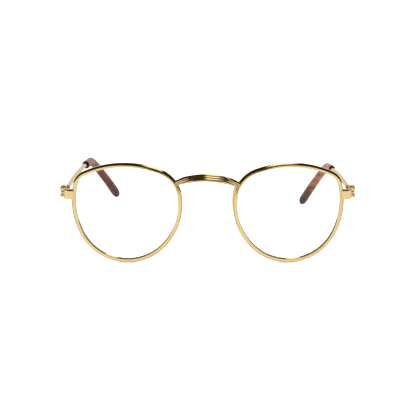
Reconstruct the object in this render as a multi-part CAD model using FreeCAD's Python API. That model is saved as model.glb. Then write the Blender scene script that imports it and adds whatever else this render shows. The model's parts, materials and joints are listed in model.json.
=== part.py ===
import FreeCAD, Part
import math
import os
from FreeCAD import Vector

# Wire eyeglasses frame, standing open on its rims and temple tips.
# Millimetres. +X is the wearer's left, +Y runs from the front to the temple tips, +Z is up.
# "left" and "right" are the wearer's own.

# ---- driving dimensions ----
# Eyewire: an outline of tangent arcs, counter-clockwise as seen from the front, on the wearer's left.
OUTLINE_START = -25.0           # direction that the outline faces where its first arc starts, degrees
OUTLINE_ARCS = [                # (stretch, sweep in degrees, radius); None is worked out so that it closes
    ("temple side", 39.0, 33.4),
    ("upper temple corner", 51.0, 6.9),
    ("brow", 45.0, None),
    ("upper nose corner", 61.0, 13.6),
    ("nose side", 58.0, 27.3),
    ("bottom", 106.0, None),
]
EYEWIRE_WIDTH = 2.0             # across the wire, in the plane of the lens
EYEWIRE_DEPTH = 1.9             # front to back
EYEWIRE_FRONT_CORNER = 1.15     # roundings on the outer side
EYEWIRE_BACK_CORNER = 0.6
EYEWIRE_INNER_CORNER = 0.4
GROOVE_WIDTH = 1.0              # V groove that the lens bevel sits in
GROOVE_DEPTH = 0.5
NOSE_GAP = 21.9                 # between the rims at their nearest
PANTOSCOPIC_TILT = 5.0          # the top of the front leans forward
WRAP_ANGLE = 3.0                # each rim turns back round the face
SPLIT_GAP = 0.24                # the rim is cut here, and the closing screw draws it shut

# Closing block and endpiece
JOINT_HEIGHT = 30.8             # middle of the endpiece, above the bottom of the rim
BLOCK_LENGTH = 1.9
UPPER_BLOCK_HEIGHT = 2.2
LOWER_BLOCK_HEIGHT = 1.65
BLOCK_BACK = 1.9
BLOCK_CORNER = 0.6
CLOSING_SCREW_PLACE = 0.52      # share of the block's length from the rim
CLOSING_SCREW_REACH = 1.4       # that the screw goes into the upper block
CLOSING_SCREW_RADIUS = 0.5
CLOSING_HEAD_RADIUS = 0.85
CLOSING_HEAD_HEIGHT = 0.45
PLATE_OUTER_X = 63.2
PLATE_INNER_X = 58.5
PLATE_HEIGHT = 3.8
PLATE_FRONT = -1.3
PLATE_THICKNESS = 1.0
PLATE_INNER_EDGE = 0.4          # rounding of the front edge next to the rim
PLATE_CORNERS = [0.5, 1.6, 0.6, 0.3]   # in front view: lower inner, lower outer, upper outer, upper inner
STRIP_BEND = 0.9                # outer radius where the plate turns back into the leg
LEG_THICKNESS = 0.9
LEG_BACK = 2.3

# Bridge
BRIDGE_LANDING = 149.5          # direction from the nose corner's centre to where the bridge meets the rim
BRIDGE_RISE = 3.6               # of the arch above its ends
BRIDGE_SLANT = 2.0              # the bridge is a little lower on the wearer's left
BRIDGE_LEAN = 25.0              # the arch leans forward by this
BAND_WIDTH_MIDDLE = 3.0         # of the ribbed face
BAND_WIDTH_END = 1.3
BAND_FULLNESS = 4               # power of the law by which it narrows: a high one makes short necks
BAND_THICKNESS = 1.9
BAND_FACING = 42.0              # the ribbed face looks up by this in the middle, from straight ahead
BAND_FACING_END = -8.0          # and by this at its ends, where it has twisted to meet the rims
BAND_TWIST_START = 0.5          # shares of the half length between which it twists
BAND_TWIST_END = 0.85
RIB_COUNT = 3
RIB_HEIGHT = 0.2                # of each rib, as a share of its width
BAND_BACK_WIDTH = 0.9           # flat back of the band, as a share of its full width
BAND_EDGE_BULGES = (0.5, 0.2)   # how far the lower and the upper edge swell
BRIDGE_STATIONS = 17
BRAZE_RADIUS = 1.1              # of the bead of braze where the bridge meets each rim
BRAZE_OUT = 0.75                # its centre, outward from the middle of the wire
FOOT_START = 154.0              # the feet run down the rims between these directions
FOOT_END = 185.0
FOOT_THICKNESS = 0.65
FOOT_DEPTH = 1.5
FOOT_TAPER = (0.99, 0.87)       # thickness and depth shrink like an ellipse, this far towards its end
FOOT_ROUNDING = 0.45            # share of the thickness
FOOT_OVERLAP = 0.2              # the foot is drawn this far into the rim, then trimmed to it
FOOT_STATIONS = 7

# Temple hinge
HINGE_OUT = 1.15                # from the end of the endpiece leg to the hinge axis
HINGE_BACK = 2.9
WEB_THICKNESS = 0.9             # of the front hinge, behind the leg
WEB_OVERLAP = 0.4               # the web is drawn this far into the leg, then trimmed to it
WEB_INSET = 0.05                # the web is this much thinner than the leg, on the inner side
BARREL_RADIUS = 1.6
MIDDLE_BARREL_RADIUS = 1.4
MIDDLE_BARREL_HEIGHT = 1.0
BARREL_GAP = 0.3
UPPER_BARREL_HEIGHT = 1.65
LOWER_BARREL_HEIGHT = 1.4
BARREL_ROUNDING = 0.3
PIN_RADIUS = 0.6
PIN_CLEARANCE = 0.05
PIN_HEAD_RADIUS = 1.2
PIN_HEAD_HEIGHT = 0.65
PIN_HEAD_ROUNDING = 0.4
PIN_TAIL = 0.1                  # the screw's point stands this far below the bottom barrel
SLOT_WIDTH = 0.32
SLOT_DEPTH = 0.22
ARM_LENGTH = 3.0                # of the middle barrel's arm, from the hinge axis
ARM_INNER_X = -1.7              # from the hinge axis, towards the nose
ARM_OUTER_X = -0.3
WIRE_X = -1.55                  # middle of the leaf and the wire, from the hinge axis
LEAF_THICKNESS = 0.9            # upright leaf on the arm, which the slotted end of the wire sits over
LEAF_START = 2.1
LEAF_END = 5.6
LEAF_TOP = 2.1
LEAF_CORNERS = [0, 1.2, 0.3, 0.8]      # in side view: lower front, lower back, upper back, upper front
WIRE_HEIGHT = 1.6               # of the wire above the middle of the hinge
WIRE_START = 3.4                # from the hinge axis to the end of the wire

# Temple
WIRE_RADIUS = 1.05
DROOP_START = -1.3              # slope down at the hinge
DROOP_END = 5.2                 # slope down where the ear bend starts
LENGTH_TO_BEND = 86.5
BEND_RADIUS = 14.0
BEND_ANGLE = 27.5
DROP_LENGTH = 37.5
DROP_RADIUS = 130.0
TEMPLE_LEAN = 24.0              # the curve of the temple leans inward by this
# The temples are adjusted unevenly, as on a worn pair: (pitch upward, toe-in) where they leave the hinge.
# The right one is a little high and the left a little low, so the two pass each other when folded.
TEMPLE_SETTING = {"left": (-1.1, -0.7), "right": (0.75, 0.15)}
SLEEVE_START = 68.5             # distance along the wire to the mouth of the sleeve
WIRE_END_COVER = 9.0            # the wire core stops this far before the end of the sleeve
MOUTH_RECESS_RADIUS = 1.5
MOUTH_RECESS_DEPTH = 1.2
SLEEVE_MOUTH_SIZE = (3.6, 3.7)  # thickness side to side, and width across it
PADDLE_SIZE = (4.5, 5.8)
SLEEVE_STATIONS = 25            # sections along the sleeve, before its rounded end
ROUNDED_LENGTH = 4.5
TIP_ROUNDING = [0.35, 0.65, 0.85, 0.96, 0.998]   # how far along the rounded end each section lies

RIM_HALF = EYEWIRE_WIDTH / 2
TOLERANCE = 1e-6
X_AXIS = Vector(1, 0, 0)
Y_AXIS = Vector(0, 1, 0)
Z_AXIS = Vector(0, 0, 1)
ORIGIN = Vector(0, 0, 0)


# ---- helpers ----
def direction(degrees):
    """Unit vector in the X-Z plane."""
    angle = math.radians(degrees)
    return Vector(math.cos(angle), 0, math.sin(angle))


def eased(value, low, high):
    """0 below low and 1 above high, with a smooth change between them."""
    share = min(max((value - low) / (high - low), 0.0), 1.0)
    return share * share * (3 - 2 * share)


def box(low, high):
    return Part.makeBox(high[0] - low[0], high[1] - low[1], high[2] - low[2], Vector(*low))


def rounded_outline(points, radii):
    """Closed wire through the corner points, each rounded to its radius (0 keeps it sharp)."""
    edges = []
    ends = []
    for index, corner in enumerate(points):
        before = (points[index - 1] - corner).normalize()
        after = (points[(index + 1) % len(points)] - corner).normalize()
        half_turn = before.getAngle(after) / 2
        reach = radii[index] / math.tan(half_turn)
        first = corner + before * reach
        last = corner + after * reach
        if radii[index] > 0:
            inward = (before + after).normalize()
            middle = corner + inward * (radii[index] / math.sin(half_turn) - radii[index])
            edges.append(Part.Arc(first, middle, last).toShape())
        ends.append((first, last))
    for index, (first, last) in enumerate(ends):
        following = ends[(index + 1) % len(ends)][0]
        if last.distanceToPoint(following) > TOLERANCE:
            edges.append(Part.LineSegment(last, following).toShape())
    return Part.Wire(Part.__sortEdges__(edges))


def prism(outline, along):
    return Part.Face(outline).extrude(along)


def mirrored(shape):
    """The same piece on the other side of the nose."""
    return shape.mirror(ORIGIN, X_AXIS)


def front_to_frame(shape):
    """Turn a piece drawn in the flat plane of the wearer's left lens into its place on the front."""
    placed = shape.copy()
    placed.rotate(Vector(NOSE_GAP / 2, 0, 0), Z_AXIS, WRAP_ANGLE)
    placed.rotate(ORIGIN, X_AXIS, PANTOSCOPIC_TILT)
    return placed


# ---- eyewire rim ----
def solve_outline():
    """Arcs as (centre, radius, start, sweep), placed so that the rim stands on Z = 0."""
    starts = [OUTLINE_START]
    for _, sweep, _ in OUTLINE_ARCS:
        starts.append(starts[-1] + sweep)
    steps = [direction(starts[i + 1]) - direction(starts[i]) for i in range(len(OUTLINE_ARCS))]
    known = ORIGIN
    for step, (_, _, radius) in zip(steps, OUTLINE_ARCS):
        if radius is not None:
            known = known + step * radius
    first, second = [step for step, arc in zip(steps, OUTLINE_ARCS) if arc[2] is None]
    area = first.x * second.z - second.x * first.z
    solved = [(second.x * known.z - known.x * second.z) / area,
              (known.x * first.z - first.x * known.z) / area]
    arcs = []
    point = ORIGIN
    for start, (_, sweep, radius) in zip(starts, OUTLINE_ARCS):
        if radius is None:
            radius = solved.pop(0)
        centre = point - direction(start) * radius
        arcs.append((centre, radius, start, sweep))
        point = centre + direction(start + sweep) * radius
    nose_side, bottom = arcs[4], arcs[5]
    shift = Vector(NOSE_GAP / 2 + RIM_HALF - (nose_side[0].x - nose_side[1]), 0,
                   RIM_HALF - (bottom[0].z - bottom[1]))
    return [(centre + shift, radius, start, sweep) for centre, radius, start, sweep in arcs]


def outline_point(arcs, angle, outward=0.0):
    """Point on the outline where it faces the angle, moved outward from the wire's centre line."""
    for centre, radius, start, sweep in arcs:
        if start <= angle <= start + sweep:
            return centre + direction(angle) * (radius + outward)
    raise ValueError("angle is outside the outline")


def revolve_section(section, arc, start, sweep):
    """Revolve an outline of (outward, back) points about an arc's centre."""
    centre, radius, _, _ = arc
    face = Part.Face(section(centre + direction(start) * radius, direction(start)))
    return face.revolve(centre, -Y_AXIS, sweep)


def eyewire_section(point, outward):
    """Rounded bar with a V groove on its inner side."""
    depth = EYEWIRE_DEPTH / 2
    groove = GROOVE_WIDTH / 2
    corners = [(RIM_HALF, -depth, EYEWIRE_FRONT_CORNER), (RIM_HALF, depth, EYEWIRE_BACK_CORNER),
               (-RIM_HALF, depth, EYEWIRE_INNER_CORNER), (-RIM_HALF, groove, 0),
               (GROOVE_DEPTH - RIM_HALF, 0, 0),
               (-RIM_HALF, -groove, 0), (-RIM_HALF, -depth, EYEWIRE_INNER_CORNER)]
    points = [point + outward * out + Y_AXIS * back for out, back, _ in corners]
    return rounded_outline(points, [corner[2] for corner in corners])


def make_closed_rim(arcs):
    sections = [revolve_section(eyewire_section, arc, arc[2], arc[3]) for arc in arcs]
    return sections[0].multiFuse(sections[1:]).removeSplitter()


def make_rim(closed_rim, outer_x):
    """The rim, cut through where the closing block draws it shut."""
    half = SPLIT_GAP / 2
    cut = box((outer_x - 2 * EYEWIRE_WIDTH, -EYEWIRE_DEPTH, JOINT_HEIGHT - half),
              (outer_x + EYEWIRE_WIDTH, EYEWIRE_DEPTH, JOINT_HEIGHT + half))
    return closed_rim.cut(cut)


# ---- closing block, its screw, and the endpiece ----
def closing_screw_axis(outer_x):
    middle_y = (PLATE_FRONT + PLATE_THICKNESS + BLOCK_BACK) / 2
    return Vector(outer_x + BLOCK_LENGTH * CLOSING_SCREW_PLACE, middle_y, JOINT_HEIGHT)


def make_closing_screw(outer_x):
    """Slotted screw that goes up through the lower block into the upper one."""
    axis = closing_screw_axis(outer_x)
    block_bottom = axis.z - SPLIT_GAP / 2 - LOWER_BLOCK_HEIGHT
    shaft_top = axis.z + SPLIT_GAP / 2 + CLOSING_SCREW_REACH
    shaft_start = Vector(axis.x, axis.y, block_bottom)
    shaft = Part.makeCylinder(CLOSING_SCREW_RADIUS, shaft_top - block_bottom, shaft_start)
    head_bottom = block_bottom - CLOSING_HEAD_HEIGHT
    head_start = Vector(axis.x, axis.y, head_bottom)
    head = Part.makeCylinder(CLOSING_HEAD_RADIUS, CLOSING_HEAD_HEIGHT, head_start)
    slot = box((axis.x - CLOSING_HEAD_RADIUS, axis.y - SLOT_WIDTH / 2, head_bottom),
               (axis.x + CLOSING_HEAD_RADIUS, axis.y + SLOT_WIDTH / 2, head_bottom + SLOT_DEPTH))
    return shaft.fuse(head).removeSplitter().cut(slot)


def make_closing_block(side, closed_rim, screw, outer_x):
    """One half of the block: side is 1 for the upper half, brazed to the plate, and -1 for the lower."""
    near = JOINT_HEIGHT + side * SPLIT_GAP / 2
    far = near + side * (UPPER_BLOCK_HEIGHT if side > 0 else LOWER_BLOCK_HEIGHT)
    front = PLATE_FRONT + PLATE_THICKNESS + (0 if side > 0 else SPLIT_GAP / 2)
    inner = outer_x - RIM_HALF
    outer = outer_x + BLOCK_LENGTH
    plan = [Vector(inner, front, near), Vector(outer, front, near),
            Vector(outer, BLOCK_BACK, near), Vector(inner, BLOCK_BACK, near)]
    block = prism(rounded_outline(plan, [0, 0, BLOCK_CORNER, 0]), Z_AXIS * (far - near))
    side_view = [Vector(inner, front, near), Vector(inner, BLOCK_BACK, near),
                 Vector(inner, BLOCK_BACK, far), Vector(inner, front, far)]
    rounding = prism(rounded_outline(side_view, [0, 0, BLOCK_CORNER, BLOCK_CORNER]), X_AXIS * (outer - inner))
    return block.common(rounding).cut(closed_rim).cut(screw)


def make_endpiece(closed_rim):
    """Plate on the front of the rim that turns back into the leg carrying the hinge."""
    plate_back = PLATE_FRONT + PLATE_THICKNESS
    leg_inner = PLATE_OUTER_X - LEG_THICKNESS
    bottom = JOINT_HEIGHT - PLATE_HEIGHT / 2
    plan = [Vector(PLATE_INNER_X, PLATE_FRONT, bottom), Vector(PLATE_OUTER_X, PLATE_FRONT, bottom),
            Vector(PLATE_OUTER_X, LEG_BACK, bottom), Vector(leg_inner, LEG_BACK, bottom),
            Vector(leg_inner, plate_back, bottom), Vector(PLATE_INNER_X, plate_back, bottom)]
    plan_outline = rounded_outline(plan, [PLATE_INNER_EDGE, STRIP_BEND, 0, 0, 0, 0])
    bent_strip = prism(plan_outline, Z_AXIS * PLATE_HEIGHT)
    top = bottom + PLATE_HEIGHT
    front_view = [Vector(PLATE_INNER_X, PLATE_FRONT, bottom), Vector(PLATE_OUTER_X, PLATE_FRONT, bottom),
                  Vector(PLATE_OUTER_X, PLATE_FRONT, top), Vector(PLATE_INNER_X, PLATE_FRONT, top)]
    rounding = prism(rounded_outline(front_view, PLATE_CORNERS), Y_AXIS * (LEG_BACK - PLATE_FRONT))
    return bent_strip.common(rounding).cut(closed_rim)


# ---- bridge ----
def band_section(centre, outward, across, width):
    """Flat-backed strip with a thick, rounded lower edge and RIB_COUNT low ribs across its face."""
    pitch = width / RIB_COUNT
    back = centre - outward * (BAND_THICKNESS / 2)
    valley = centre + outward * (BAND_THICKNESS / 2 - RIB_HEIGHT * pitch)
    edges = []
    for rib in range(RIB_COUNT):
        low = valley + across * (rib * pitch - width / 2)
        high = low + across * pitch
        crest = (low + high) * 0.5 + outward * (RIB_HEIGHT * pitch)
        edges.append(Part.Arc(low, crest, high).toShape())
    lower_bulge, upper_bulge = [across * bulge for bulge in BAND_EDGE_BULGES]
    low_back = back - across * (width * BAND_BACK_WIDTH / 2)
    high_back = back + across * (width * BAND_BACK_WIDTH / 2)
    first = valley - across * (width / 2)
    last = valley + across * (width / 2)
    edges.append(Part.Arc(last, (last + high_back) * 0.5 + upper_bulge, high_back).toShape())
    edges.append(Part.LineSegment(high_back, low_back).toShape())
    edges.append(Part.Arc(low_back, (first + low_back) * 0.5 - lower_bulge, first).toShape())
    return Part.Wire(edges)


def make_bridge_arch(arcs):
    """Ribbed strip that arches from one rim to the other."""
    landing = outline_point(arcs, BRIDGE_LANDING)
    lean = math.radians(BRIDGE_LEAN)
    up = Vector(0, -math.sin(lean), math.cos(lean))
    radius = (landing.x ** 2 + BRIDGE_RISE ** 2) / (2 * BRIDGE_RISE)
    half_angle = math.asin(landing.x / radius)
    middle = Vector(0, 0, landing.z)
    sections = []
    for station in range(BRIDGE_STATIONS):
        along = 2 * station / (BRIDGE_STATIONS - 1) - 1
        angle = half_angle * along
        height = radius * (math.cos(angle) - 1) + BRIDGE_RISE
        centre = middle + X_AXIS * (radius * math.sin(angle)) + up * height
        tangent = X_AXIS * math.cos(angle) - up * math.sin(angle)
        twist = eased(abs(along), BAND_TWIST_START, BAND_TWIST_END)
        facing = math.radians(BAND_FACING + (BAND_FACING_END - BAND_FACING) * twist)
        front = Vector(0, -math.cos(facing), math.sin(facing))
        across = tangent.cross(front).normalize()
        outward = across.cross(tangent)
        width = BAND_WIDTH_END + (BAND_WIDTH_MIDDLE - BAND_WIDTH_END) * (1 - abs(along) ** BAND_FULLNESS)
        sections.append(band_section(centre, outward, across, width))
    arch = Part.makeLoft(sections, True, False)
    arch.rotate(middle, Y_AXIS, BRIDGE_SLANT)
    return arch


def make_bridge_foot(arcs):
    """Tapered strip that the end of the bridge becomes, down the nose side of the left rim."""
    sections = []
    for station in range(FOOT_STATIONS):
        share = station / (FOOT_STATIONS - 1)
        angle = FOOT_START + (FOOT_END - FOOT_START) * share
        thickness, depth = [size * math.sqrt(1 - (taper * share) ** 2)
                            for size, taper in zip((FOOT_THICKNESS, FOOT_DEPTH), FOOT_TAPER)]
        outward = direction(angle)
        middle = outline_point(arcs, angle, RIM_HALF + (thickness - FOOT_OVERLAP) / 2)
        half = (thickness + FOOT_OVERLAP) / 2
        back = Y_AXIS * (depth / 2)
        corners = [middle - outward * half - back, middle + outward * half - back,
                   middle + outward * half + back, middle - outward * half + back]
        rounding = thickness * FOOT_ROUNDING
        sections.append(rounded_outline(corners, [0, rounding, rounding, 0]))
    return Part.makeLoft(sections, True, False)


def make_bridge(arcs, placed_rim):
    arch = make_bridge_arch(arcs)
    arch.rotate(ORIGIN, X_AXIS, PANTOSCOPIC_TILT)
    bead = Part.makeSphere(BRAZE_RADIUS, outline_point(arcs, BRIDGE_LANDING, BRAZE_OUT))
    foot = front_to_frame(make_bridge_foot(arcs).fuse(bead))
    bridge = arch.fuse([foot, mirrored(foot)])
    for rim in (placed_rim, mirrored(placed_rim)):
        bridge = bridge.cut(rim)
    solids = sorted(bridge.Solids, key=lambda solid: solid.Volume)
    return solids[-1]


# ---- hinge, drawn about its own upright axis at the origin ----
def barrel(radius, bore, bottom, height, arm_low, arm_high):
    """Rounded ring about the hinge axis with a square arm reaching from it."""
    ring = Part.makeCylinder(radius, height, Vector(0, 0, bottom))
    round_edges = [edge for edge in ring.Edges if edge.BoundBox.ZLength < TOLERANCE]
    ring = ring.makeFillet(BARREL_ROUNDING, round_edges)
    arm = box((arm_low[0], arm_low[1], bottom), (arm_high[0], arm_high[1], bottom + height))
    return ring.fuse(arm).cut(Part.makeCylinder(bore, height, Vector(0, 0, bottom)))


def make_front_hinge():
    """Upper and lower barrels on one web, brazed to the end of the endpiece leg."""
    inner_z = MIDDLE_BARREL_HEIGHT / 2 + BARREL_GAP
    arm_inner = -HINGE_OUT - LEG_THICKNESS / 2 + WEB_INSET
    arm_outer = -HINGE_OUT + LEG_THICKNESS / 2
    front = -HINGE_BACK - WEB_OVERLAP
    top = inner_z + UPPER_BARREL_HEIGHT
    bottom = -inner_z - LOWER_BARREL_HEIGHT
    arm = (arm_inner, front), (arm_outer, 0)
    upper = barrel(BARREL_RADIUS, PIN_RADIUS, inner_z, UPPER_BARREL_HEIGHT, *arm)
    lower = barrel(BARREL_RADIUS, PIN_RADIUS, bottom, LOWER_BARREL_HEIGHT, *arm)
    web = box((arm_inner, front, bottom), (arm_outer, WEB_THICKNESS - HINGE_BACK, top))
    return upper.multiFuse([lower, web]).removeSplitter()


def make_temple_hinge():
    """Middle barrel, whose arm and leaf carry the temple wire."""
    bottom = -MIDDLE_BARREL_HEIGHT / 2
    knuckle = barrel(MIDDLE_BARREL_RADIUS, PIN_RADIUS + PIN_CLEARANCE, bottom, MIDDLE_BARREL_HEIGHT,
                     (ARM_INNER_X, 0), (ARM_OUTER_X, ARM_LENGTH))
    side = WIRE_X - LEAF_THICKNESS / 2
    profile = [Vector(side, LEAF_START, bottom), Vector(side, LEAF_END, bottom),
               Vector(side, LEAF_END, LEAF_TOP), Vector(side, LEAF_START, LEAF_TOP)]
    leaf = prism(rounded_outline(profile, LEAF_CORNERS), X_AXIS * LEAF_THICKNESS)
    return knuckle.fuse(leaf).removeSplitter()


def make_hinge_screw():
    inner_z = MIDDLE_BARREL_HEIGHT / 2 + BARREL_GAP
    seat = inner_z + UPPER_BARREL_HEIGHT
    point = -inner_z - LOWER_BARREL_HEIGHT - PIN_TAIL
    shaft = Part.makeCylinder(PIN_RADIUS, seat - point, Vector(0, 0, point))
    head = Part.makeCylinder(PIN_HEAD_RADIUS, PIN_HEAD_HEIGHT, Vector(0, 0, seat))
    top = seat + PIN_HEAD_HEIGHT
    top_edge = [edge for edge in head.Edges if edge.BoundBox.ZMin > top - TOLERANCE]
    head = head.makeFillet(PIN_HEAD_ROUNDING, top_edge)
    slot = box((-PIN_HEAD_RADIUS, -SLOT_WIDTH / 2, top - SLOT_DEPTH), (PIN_HEAD_RADIUS, SLOT_WIDTH / 2, top))
    return shaft.fuse(head).removeSplitter().cut(slot)


# ---- temple wire and tip ----
class TempleRoute:
    """Centre line of one temple, in one leaning plane: a long arc, the ear bend, and the curved drop."""

    def __init__(self, pitch, toe_in):
        self.pieces = []
        slope = math.radians(DROOP_START - pitch)
        toe = math.radians(toe_in)
        lean = math.radians(TEMPLE_LEAN)
        level = Vector(-math.sin(toe), math.cos(toe), 0)
        tangent = level * math.cos(slope) - Z_AXIS * math.sin(slope)
        below = -level * math.sin(slope) - Z_AXIS * math.cos(slope)
        down = below * math.cos(lean) + tangent.cross(below) * math.sin(lean)
        droop = math.radians(DROOP_END - DROOP_START)
        bend = math.radians(BEND_ANGLE)
        drop = DROP_LENGTH / DROP_RADIUS
        arcs = [(LENGTH_TO_BEND / droop, droop), (BEND_RADIUS, bend), (DROP_RADIUS, drop)]
        point = Vector(WIRE_X, WIRE_START, WIRE_HEIGHT)
        passed = 0.0
        for radius, angle in arcs:
            self.pieces.append((point, tangent, down, radius, angle))
            passed += radius * angle
            point, tangent, down = self.frame_at(passed)
        self.length = sum(piece[3] * piece[4] for piece in self.pieces)

    def frame_at(self, distance):
        """Point, tangent, and the in-plane direction that faces down and forward."""
        for point, tangent, down, radius, angle in self.pieces:
            turned = min(distance / radius, angle)
            distance -= radius * turned
            place = point + tangent * (radius * math.sin(turned)) + down * (radius * (1 - math.cos(turned)))
            along = tangent * math.cos(turned) + down * math.sin(turned)
            inward = down * math.cos(turned) - tangent * math.sin(turned)
            if distance < TOLERANCE:
                break
        return place, along, inward

    def tube(self, start, end, radius):
        """Round bar along the route between two distances."""
        bars = []
        passed = 0.0
        for point, tangent, down, bend_radius, angle in self.pieces:
            span = bend_radius * angle
            first = max(start, passed)
            last = min(end, passed + span)
            passed += span
            if last - first > TOLERANCE:
                place, along, _ = self.frame_at(first)
                disc = Part.Face(Part.Wire(Part.makeCircle(radius, place, along)))
                turn = math.degrees((last - first) / bend_radius)
                bars.append(disc.revolve(point + down * bend_radius, tangent.cross(down), turn))
        bar = bars[0]
        for following in bars[1:]:
            bar = bar.fuse(following)
        return bar


def make_temple_wire(route, temple_hinge):
    """Round wire from the hinge leaf into the tip."""
    return route.tube(0.0, route.length - WIRE_END_COVER, WIRE_RADIUS).cut(temple_hinge)


def sleeve_section(route, distance, scale=1.0):
    """Ellipse across the route, thin from side to side, that grows smoothly towards the paddle."""
    place, along, inward = route.frame_at(distance)
    side = along.cross(inward)
    share = (distance - SLEEVE_START) / (route.length - SLEEVE_START)
    thickness, width = [scale * (mouth + (paddle - mouth) * share)
                        for mouth, paddle in zip(SLEEVE_MOUTH_SIZE, PADDLE_SIZE)]
    ellipse = Part.Ellipse(place + inward * (width / 2), place + side * (thickness / 2), place)
    return Part.Wire(ellipse.toShape())


def make_temple_tip(route, wire):
    """Acetate sleeve that thickens into a rounded paddle, hollow where the wire runs in it."""
    full_end = route.length - ROUNDED_LENGTH
    step = (full_end - SLEEVE_START) / (SLEEVE_STATIONS - 1)
    sections = [sleeve_section(route, SLEEVE_START + step * station) for station in range(SLEEVE_STATIONS)]
    for share in TIP_ROUNDING:
        sections.append(sleeve_section(route, full_end + ROUNDED_LENGTH * share, math.sqrt(1 - share ** 2)))
    sleeve = Part.makeLoft(sections, True, False)
    recess = route.tube(SLEEVE_START, SLEEVE_START + MOUTH_RECESS_DEPTH, MOUTH_RECESS_RADIUS)
    return sleeve.cut(recess).cut(wire)


# ---- assembly ----
def make_front(arcs):
    """Rims, closing blocks, endpieces and bridge, by node name."""
    closed_rim = make_closed_rim(arcs)
    outer_x = outline_point(arcs, 0).x + RIM_HALF
    screw = make_closing_screw(outer_x)
    flat = {
        "rim": make_rim(closed_rim, outer_x),
        "closing_block_upper": make_closing_block(1, closed_rim, screw, outer_x),
        "closing_block_lower": make_closing_block(-1, closed_rim, screw, outer_x),
        "closing_screw": screw,
        "endpiece": make_endpiece(closed_rim),
    }
    nodes = {"bridge": make_bridge(arcs, front_to_frame(closed_rim))}
    for name, shape in flat.items():
        placed = front_to_frame(shape)
        nodes["left_" + name] = placed
        nodes["right_" + name] = mirrored(placed)
    return nodes


def hinge_axis_point():
    """Middle of the left hinge, from where the endpiece leg ends."""
    leg_end = Part.Vertex(Vector(PLATE_OUTER_X - LEG_THICKNESS / 2, LEG_BACK, JOINT_HEIGHT))
    place = front_to_frame(leg_end).Point
    return place + Vector(HINGE_OUT, HINGE_BACK, 0)


def make_side(side, axis, endpiece):
    """Hinge, screw, wire and tip of one temple."""
    route = TempleRoute(*TEMPLE_SETTING[side])
    temple_hinge = make_temple_hinge()
    wire = make_temple_wire(route, temple_hinge)
    pieces = {
        "front_hinge": make_front_hinge(),
        "hinge_screw": make_hinge_screw(),
        "temple_hinge": temple_hinge,
        "temple_wire": wire,
        "temple_tip": make_temple_tip(route, wire),
    }
    nodes = {}
    for name, shape in pieces.items():
        placed = shape.translated(axis)
        if side == "right":
            placed = mirrored(placed)
        nodes[side + "_" + name] = placed
    front_hinge = side + "_front_hinge"
    nodes[front_hinge] = nodes[front_hinge].cut(endpiece)
    return nodes


def build():
    arcs = solve_outline()
    nodes = make_front(arcs)
    axis = hinge_axis_point()
    for side in TEMPLE_SETTING:
        nodes.update(make_side(side, axis, nodes[side + "_endpiece"]))
    whole = Part.makeCompound(list(nodes.values())).optimalBoundingBox(False)
    shift = Vector(-whole.Center.x, -whole.Center.y, -whole.ZMin)
    for name in nodes:
        nodes[name].translate(shift)
    return nodes, axis + shift


def main():
    nodes, axis = build()
    os.makedirs("parts", exist_ok=True)
    for name, shape in nodes.items():
        shape.exportStep("parts/" + name + ".step")
        print(f"{name}: {shape.Volume:.2f} mm3, {len(shape.Solids)} solid, valid {shape.isValid()}")
    whole = Part.makeCompound(list(nodes.values())).optimalBoundingBox(False)
    print(f"size {whole.XLength:.2f} x {whole.YLength:.2f} x {whole.ZLength:.2f} mm")
    print(f"left hinge axis at {axis.x:.3f}, {axis.y:.3f}, {axis.z:.3f} mm")


main()
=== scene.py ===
import json
import math

import bpy
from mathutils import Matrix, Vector

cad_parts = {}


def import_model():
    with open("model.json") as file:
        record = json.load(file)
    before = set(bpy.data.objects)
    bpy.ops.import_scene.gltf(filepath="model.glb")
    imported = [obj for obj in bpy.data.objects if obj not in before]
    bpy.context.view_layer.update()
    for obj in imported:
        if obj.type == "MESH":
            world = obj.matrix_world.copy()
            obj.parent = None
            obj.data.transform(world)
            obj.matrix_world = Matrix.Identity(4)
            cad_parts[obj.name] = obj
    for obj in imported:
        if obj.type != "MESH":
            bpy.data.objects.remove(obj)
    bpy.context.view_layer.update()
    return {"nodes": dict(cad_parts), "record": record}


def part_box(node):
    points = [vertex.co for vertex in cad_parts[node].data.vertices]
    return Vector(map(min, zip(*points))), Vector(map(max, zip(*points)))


# Looks, light and camera for a wire eyeglasses frame. Metres. +X is the wearer's left, +Y runs back to
# the temple tips, +Z is up.

# ---- camera ----
CAMERA_ELEVATION = 10.6         # degrees above the floor, looking along +Y
CAMERA_DISTANCE = 0.560
CAMERA_BEHIND_RIMS = 0.0008     # how far behind the middle of the rims it looks
CAMERA_TARGET = (0.0001, 0.0248)    # sideways, and above the floor
SENSOR_WIDTH = 36.0             # mm
FOCAL_LENGTH = 110.4            # mm

# ---- studio ----
FLOOR_SIZE = 6.0
FLOOR_GLOW = 0.3                    # lifts the shadows on the paper to white
SUN_FROM = (0.1, -0.25, 1.0)
SUN_SPREAD = 90.0                   # degrees
SUN_STRENGTH = 5.2
ROOM_DARK = (0.022, 0.018, 0.010)
TABLE_LIGHT = (0.92, 0.92, 0.91)
TABLE_SIDES = (0.66, 0.65, 0.62)    # far off to the left and right
TABLE_UNDER = (0.62, 0.60, 0.56)    # the shadow right under the frame
TABLE_FRONT = (-0.164, -0.196)      # the table fades into the dark room between these distances
TABLE_MIDDLE = 0.045                # and outside this half width it runs further forward,
TABLE_CURVE = 4.0                   # by this much for each metre sideways
BACKDROP_LIGHT = (0.80, 0.79, 0.77)
BACKDROP_TILT = 12.0                # degrees that the backdrop's middle lies above the horizon
BACKDROP_REACH = (56.0, 46.0)       # degrees from its middle, where it ends and where it is full
FAR_LIGHT = (0.74, 0.71, 0.66)      # straight back, where the table meets the backdrop
SOFTBOX_LIGHT = (1.45, 1.42, 1.36)
SOFTBOX_MIDDLE = 0.038              # sideways from the nose
SOFTBOX_HEIGHT = 0.24
SOFTBOX_SPAN = (-0.33, 0.04)        # front to back
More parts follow.
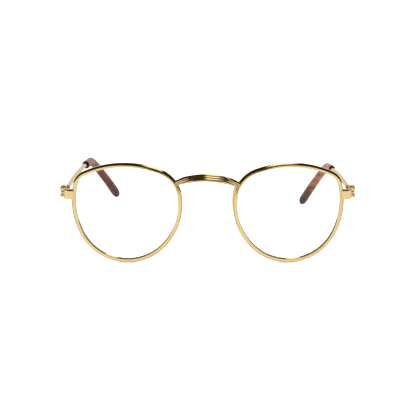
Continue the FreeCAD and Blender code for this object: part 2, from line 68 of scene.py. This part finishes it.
SOFTBOX_EDGE = 0.056                # half its width, with its soft edges
SOFTBOX_CORE = 0.45                 # how much of that half width is full
SOFTBOX_FADE = 0.7                  # where it is full at the front, as a part of the way out

# ---- colours ----
GOLD_PALE = (0.93, 0.72, 0.39)
GOLD_DEEP = (0.89, 0.66, 0.33)
GOLD_ROUGHNESS = 0.06
SCREW_PALE = (0.86, 0.64, 0.34)
SCREW_DEEP = (0.76, 0.54, 0.27)
PAPER_SHADES = ((0.90, 0.90, 0.90), (0.93, 0.93, 0.93))
ACETATE_SPECKS = (0.5, 0.4, 0.38)
ACETATE_SIDES = (-0.02, 0.02)       # dark acetate on the right of these, light on the left
ACETATE_SHEEN_HEIGHTS = (0.021, 0.008)    # painted reflection: heights above the floor where the tips start to go darker and greyer, and where they are fully so


def new_material(name):
    material = bpy.data.materials.new(name)
    material.use_nodes = True
    material.node_tree.nodes.clear()
    return material, Graph(material.node_tree)


class Graph:
    """Short calls for adding linked nodes to a tree."""

    def __init__(self, tree):
        self.tree = tree

    def add(self, kind, inputs=None, **settings):
        node = self.tree.nodes.new(kind)
        for key, value in settings.items():
            setattr(node, key, value)
        for key, value in (inputs or {}).items():
            if isinstance(value, bpy.types.NodeSocket):
                self.tree.links.new(value, node.inputs[key])
            else:
                node.inputs[key].default_value = value
        return node

    def math(self, operation, *values):
        return self.add("ShaderNodeMath", dict(enumerate(values)), operation=operation).outputs[0]

    def smooth(self, value, low, high):
        """0 below low and 1 above high, eased between them. low may be the larger, which turns it round."""
        node = self.add("ShaderNodeMapRange", {"Value": value, "From Min": low, "From Max": high},
                        interpolation_type="SMOOTHSTEP")
        return node.outputs["Result"]

    def ramp(self, factor, stops):
        node = self.add("ShaderNodeValToRGB", {"Fac": factor})
        elements = node.color_ramp.elements
        while len(elements) < len(stops):
            elements.new(1.0)
        for element, (place, colour) in zip(elements, stops):
            element.position = place
            element.color = (*colour, 1.0)
        return node.outputs["Color"]

    def noise(self, vector, scale, detail=3.0, roughness=0.5, distortion=0.0):
        node = self.add("ShaderNodeTexNoise", {"Vector": vector, "Scale": scale, "Detail": detail,
                                               "Roughness": roughness, "Distortion": distortion})
        return node.outputs["Fac"]

    def mix(self, factor, first, second, blend="MIX"):
        """Blend two colours, each a socket or three numbers."""
        first, second = [(*value, 1.0) if isinstance(value, tuple) else value for value in (first, second)]
        node = self.add("ShaderNodeMix", {0: factor, 6: first, 7: second}, data_type="RGBA", blend_type=blend)
        return node.outputs[2]

    def surface(self, shader):
        self.add("ShaderNodeOutputMaterial", {"Surface": shader.outputs[0]})


# ---- materials ----
def polished_gold(name):
    """Plated wire, polished by hand: slightly uneven colour and gloss, and a faint waviness."""
    material, graph = new_material(name)
    place = graph.add("ShaderNodeTexCoord").outputs["Object"]
    patches = graph.noise(place, 140.0, detail=4.0)
    colour = graph.ramp(patches, [(0.35, GOLD_DEEP), (0.65, GOLD_PALE)])
    streaks = graph.noise(place, 900.0, detail=5.0, roughness=0.6)
    gloss = graph.add("ShaderNodeMapRange", {"Value": streaks, "From Min": 0.3, "From Max": 0.7,
                                             "To Min": GOLD_ROUGHNESS * 0.6,
                                             "To Max": GOLD_ROUGHNESS * 1.5})
    waviness = graph.noise(place, 260.0, detail=2.0)
    bump = graph.add("ShaderNodeBump", {"Height": waviness, "Strength": 0.12, "Distance": 0.0002})
    shader = graph.add("ShaderNodeBsdfPrincipled", {
        "Base Color": colour, "Metallic": 1.0, "Roughness": gloss.outputs["Result"],
        "Normal": bump.outputs["Normal"]})
    graph.surface(shader)
    return material


def turned_gold(name):
    """Screw stock turned on a lathe and then plated: fine rings about the screw's axis."""
    material, graph = new_material(name)
    coordinates = graph.add("ShaderNodeTexCoord").outputs
    centred = graph.add("ShaderNodeMapping", {"Vector": coordinates["Generated"],
                                              "Location": (-0.5, -0.5, 0.0)}).outputs[0]
    rings = graph.add("ShaderNodeTexWave", {"Vector": centred, "Scale": 5.0, "Distortion": 0.4},
                      wave_type="RINGS", rings_direction="Z").outputs["Fac"]
    wear = graph.noise(coordinates["Object"], 1200.0, detail=4.0)
    colour = graph.ramp(wear, [(0.35, SCREW_DEEP), (0.65, SCREW_PALE)])
    gloss = graph.add("ShaderNodeMapRange", {"Value": wear, "From Min": 0.3, "From Max": 0.7,
                                             "To Min": 0.12, "To Max": 0.26})
    bump = graph.add("ShaderNodeBump", {"Height": rings, "Strength": 0.3, "Distance": 0.00002})
    shader = graph.add("ShaderNodeBsdfPrincipled", {
        "Base Color": colour, "Metallic": 1.0, "Roughness": gloss.outputs["Result"],
        "Normal": bump.outputs["Normal"]})
    graph.surface(shader)
    return material


def marbled_acetate(name):
    """Cloudy brown sheet, cut and polished: lighter on the left, and with a painted reflection that makes it
    darker and greyer towards the paddle's end.
    """
    material, graph = new_material(name)
    place = graph.add("ShaderNodeTexCoord").outputs["Object"]
    stretched = graph.add("ShaderNodeMapping", {"Vector": place, "Scale": (1.0, 0.45, 1.0)}).outputs[0]
    clouds = graph.noise(stretched, 300.0, detail=5.0, roughness=0.6, distortion=1.2)
    dark = graph.ramp(clouds, [(0.30, (0.050, 0.007, 0.003)), (0.45, (0.105, 0.013, 0.006)),
                               (0.58, (0.150, 0.028, 0.014)), (0.75, (0.090, 0.026, 0.019))])
    light = graph.ramp(clouds, [(0.30, (0.130, 0.032, 0.017)), (0.45, (0.250, 0.074, 0.036)),
                                (0.58, (0.350, 0.130, 0.070)), (0.75, (0.210, 0.090, 0.065))])
    # painted reflection: darker, greyer colours that stand in for the sheen on the tips' lower ends
    sheen_grey = graph.ramp(clouds, [(0.30, (0.030, 0.015, 0.015)), (0.5, (0.058, 0.031, 0.031)),
                               (0.7, (0.085, 0.050, 0.048))])
    x, _, height = graph.add("ShaderNodeSeparateXYZ", {"Vector": place}).outputs
    warm = graph.mix(graph.smooth(x, *ACETATE_SIDES), dark, light)
    # painted reflection mask by height above the floor, with a cloudy edge: full near the floor, gone higher
    # up
    sheen_height = graph.math("ADD", height, graph.math("MULTIPLY", graph.math("SUBTRACT", clouds, 0.5), 0.012))
    colour = graph.mix(graph.smooth(sheen_height, *ACETATE_SHEEN_HEIGHTS), warm, sheen_grey)
    grain = graph.noise(stretched, 1500.0, detail=3.0)
    speckled = graph.mix(graph.math("MULTIPLY", grain, 0.35), colour, ACETATE_SPECKS, "MULTIPLY")
    gloss = graph.add("ShaderNodeMapRange", {"Value": grain, "To Min": 0.20, "To Max": 0.34})
    bump = graph.add("ShaderNodeBump", {"Height": clouds, "Strength": 0.1, "Distance": 0.0001})
    shader = graph.add("ShaderNodeBsdfPrincipled", {
        "Base Color": speckled, "Roughness": gloss.outputs["Result"], "Normal": bump.outputs["Normal"],
        "IOR": 1.49, "Specular IOR Level": 0.25, "Coat Weight": 0.08, "Coat Roughness": 0.08})
    graph.surface(shader)
    return material


def floor_paper(name):
    """White paper with a faint grain, lit a little from below."""
    material, graph = new_material(name)
    place = graph.add("ShaderNodeTexCoord").outputs["Object"]
    fibres = graph.noise(place, 900.0, detail=4.0)
    colour = graph.ramp(fibres, list(zip((0.3, 0.7), PAPER_SHADES)))
    shader = graph.add("ShaderNodeBsdfPrincipled", {
        "Base Color": colour, "Roughness": 0.9, "Specular IOR Level": 0.1,
        "Emission Color": (1.0, 1.0, 1.0, 1.0), "Emission Strength": FLOOR_GLOW})
    graph.surface(shader)
    return material


def table_edge(name):
    """Glow that fades from the table's white to the room's dark towards the front."""
    material, graph = new_material(name)
    place = graph.add("ShaderNodeTexCoord").outputs["Object"]
    x, y, _ = graph.add("ShaderNodeSeparateXYZ", {"Vector": place}).outputs
    outside = graph.math("SUBTRACT", graph.math("ABSOLUTE", x), TABLE_MIDDLE)
    curved = graph.math("MULTIPLY_ADD", graph.math("MAXIMUM", outside, 0.0), TABLE_CURVE, y)
    colour = graph.mix(graph.smooth(curved, *TABLE_FRONT), TABLE_LIGHT, ROOM_DARK)
    graph.surface(graph.add("ShaderNodeEmission", {"Color": colour}))
    return material


def softbox_glow(name):
    """Glow of a cloth-fronted lamp, which fades towards its sides and its front end."""
    material, graph = new_material(name)
    place = graph.add("ShaderNodeTexCoord").outputs["Object"]
    x, y, _ = graph.add("ShaderNodeSeparateXYZ", {"Vector": place}).outputs
    across = graph.math("ABSOLUTE", graph.math("SUBTRACT", x, SOFTBOX_MIDDLE))
    sides = graph.smooth(across, SOFTBOX_EDGE, SOFTBOX_EDGE * SOFTBOX_CORE)
    front = graph.smooth(y, SOFTBOX_SPAN[0], SOFTBOX_SPAN[0] * SOFTBOX_FADE)
    colour = graph.mix(graph.math("MULTIPLY", sides, front), ROOM_DARK, SOFTBOX_LIGHT)
    graph.surface(graph.add("ShaderNodeEmission", {"Color": colour}))
    return material


# ---- studio ----
def make_world():
    """A dark room with a white table and backdrop for the metal to reflect, and plain white to look at."""
    world = bpy.data.worlds.new("studio")
    bpy.context.scene.world = world
    world.use_nodes = True
    world.node_tree.nodes.clear()
    graph = Graph(world.node_tree)
    way = graph.add("ShaderNodeTexCoord").outputs["Generated"]
    x, y, z = graph.add("ShaderNodeSeparateXYZ", {"Vector": way}).outputs
    sideways = graph.smooth(graph.math("ABSOLUTE", x), 0.45, 0.85)
    table = graph.mix(sideways, TABLE_LIGHT, TABLE_SIDES)
    table = graph.mix(graph.smooth(z, -0.6, -0.95), table, TABLE_UNDER)
    tilt = math.radians(BACKDROP_TILT)
    towards = graph.math("ADD", graph.math("MULTIPLY", y, math.cos(tilt)),
                         graph.math("MULTIPLY", z, math.sin(tilt)))
    backdrop = graph.smooth(towards, *[math.cos(math.radians(angle)) for angle in BACKDROP_REACH])
    room = graph.mix(backdrop, ROOM_DARK, BACKDROP_LIGHT)
    reflected = graph.mix(graph.smooth(z, 0.03, -0.05), room, table)
    reflected = graph.mix(graph.smooth(y, 0.92, 0.98), reflected, FAR_LIGHT)
    seen = graph.add("ShaderNodeLightPath").outputs["Is Camera Ray"]
    colour = graph.mix(seen, reflected, (1.0, 1.0, 1.0))
    background = graph.add("ShaderNodeBackground", {"Color": colour, "Strength": 1.0})
    graph.add("ShaderNodeOutputWorld", {"Surface": background.outputs[0]})


def make_sun():
    """Wide overhead light, which the polished surfaces don't reflect."""
    light = bpy.data.lights.new("overhead", "SUN")
    light.energy = SUN_STRENGTH
    light.angle = math.radians(SUN_SPREAD)
    lamp = bpy.data.objects.new("overhead", light)
    bpy.context.scene.collection.objects.link(lamp)
    lamp.rotation_euler = Vector(SUN_FROM).to_track_quat("Z", "Y").to_euler()
    lamp.visible_glossy = False


def stage_plane(name, sides, ends, height, material):
    """Level sheet between two places across X and two along Y."""
    corners = [(sides[0], ends[0], height), (sides[1], ends[0], height),
               (sides[1], ends[1], height), (sides[0], ends[1], height)]
    mesh = bpy.data.meshes.new(name)
    mesh.from_pydata(corners, [], [(0, 1, 2, 3)])
    mesh.materials.append(material)
    plane = bpy.data.objects.new(name, mesh)
    bpy.context.scene.collection.objects.link(plane)
    return plane


def make_floor(material):
    half = FLOOR_SIZE / 2
    floor = stage_plane("floor", (-half, half), (-half, half), 0.0, material)
    floor.visible_glossy = False


def make_reflected_cards(table_material, softbox_material):
    """The table's front edge and an overhead softbox, which only the polished surfaces see."""
    half = FLOOR_SIZE / 2
    softbox_sides = (SOFTBOX_MIDDLE - SOFTBOX_EDGE, SOFTBOX_MIDDLE + SOFTBOX_EDGE)
    cards = [stage_plane("table_edge", (-half, half), (-half, TABLE_FRONT[0]), 0.0, table_material),
             stage_plane("softbox", softbox_sides, SOFTBOX_SPAN, SOFTBOX_HEIGHT, softbox_material)]
    for card in cards:
        card.visible_camera = False
        card.visible_diffuse = False
        card.visible_shadow = False


def make_camera(target):
    elevation = math.radians(CAMERA_ELEVATION)
    data = bpy.data.cameras.new("camera")
    data.sensor_width = SENSOR_WIDTH
    data.lens = FOCAL_LENGTH
    camera = bpy.data.objects.new("camera", data)
    bpy.context.scene.collection.objects.link(camera)
    camera.location = target + Vector((0, -math.cos(elevation), math.sin(elevation))) * CAMERA_DISTANCE
    camera.rotation_euler = (target - camera.location).to_track_quat("-Z", "Y").to_euler()
    bpy.context.scene.camera = camera


def dress(frame, materials):
    """Give every CAD node the material of its slot."""
    for entry in frame["record"]["subparts"]:
        node = frame["nodes"][entry["node"]]
        for slot in node.material_slots:
            slot.material = materials[entry["material_slot"]]


def main():
    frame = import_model()
    materials = {
        "polished_gold": polished_gold("polished_gold"),
        "gold_screw": turned_gold("gold_screw"),
        "marbled_acetate": marbled_acetate("marbled_acetate"),
    }
    dress(frame, materials)
    low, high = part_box("left_rim")
    target = Vector((CAMERA_TARGET[0], (low.y + high.y) / 2 + CAMERA_BEHIND_RIMS, CAMERA_TARGET[1]))
    make_camera(target)
    make_world()
    make_floor(floor_paper("floor_paper"))
    make_reflected_cards(table_edge("table_edge"), softbox_glow("softbox"))
    make_sun()
    bpy.context.scene.view_settings.view_transform = "Standard"


main()
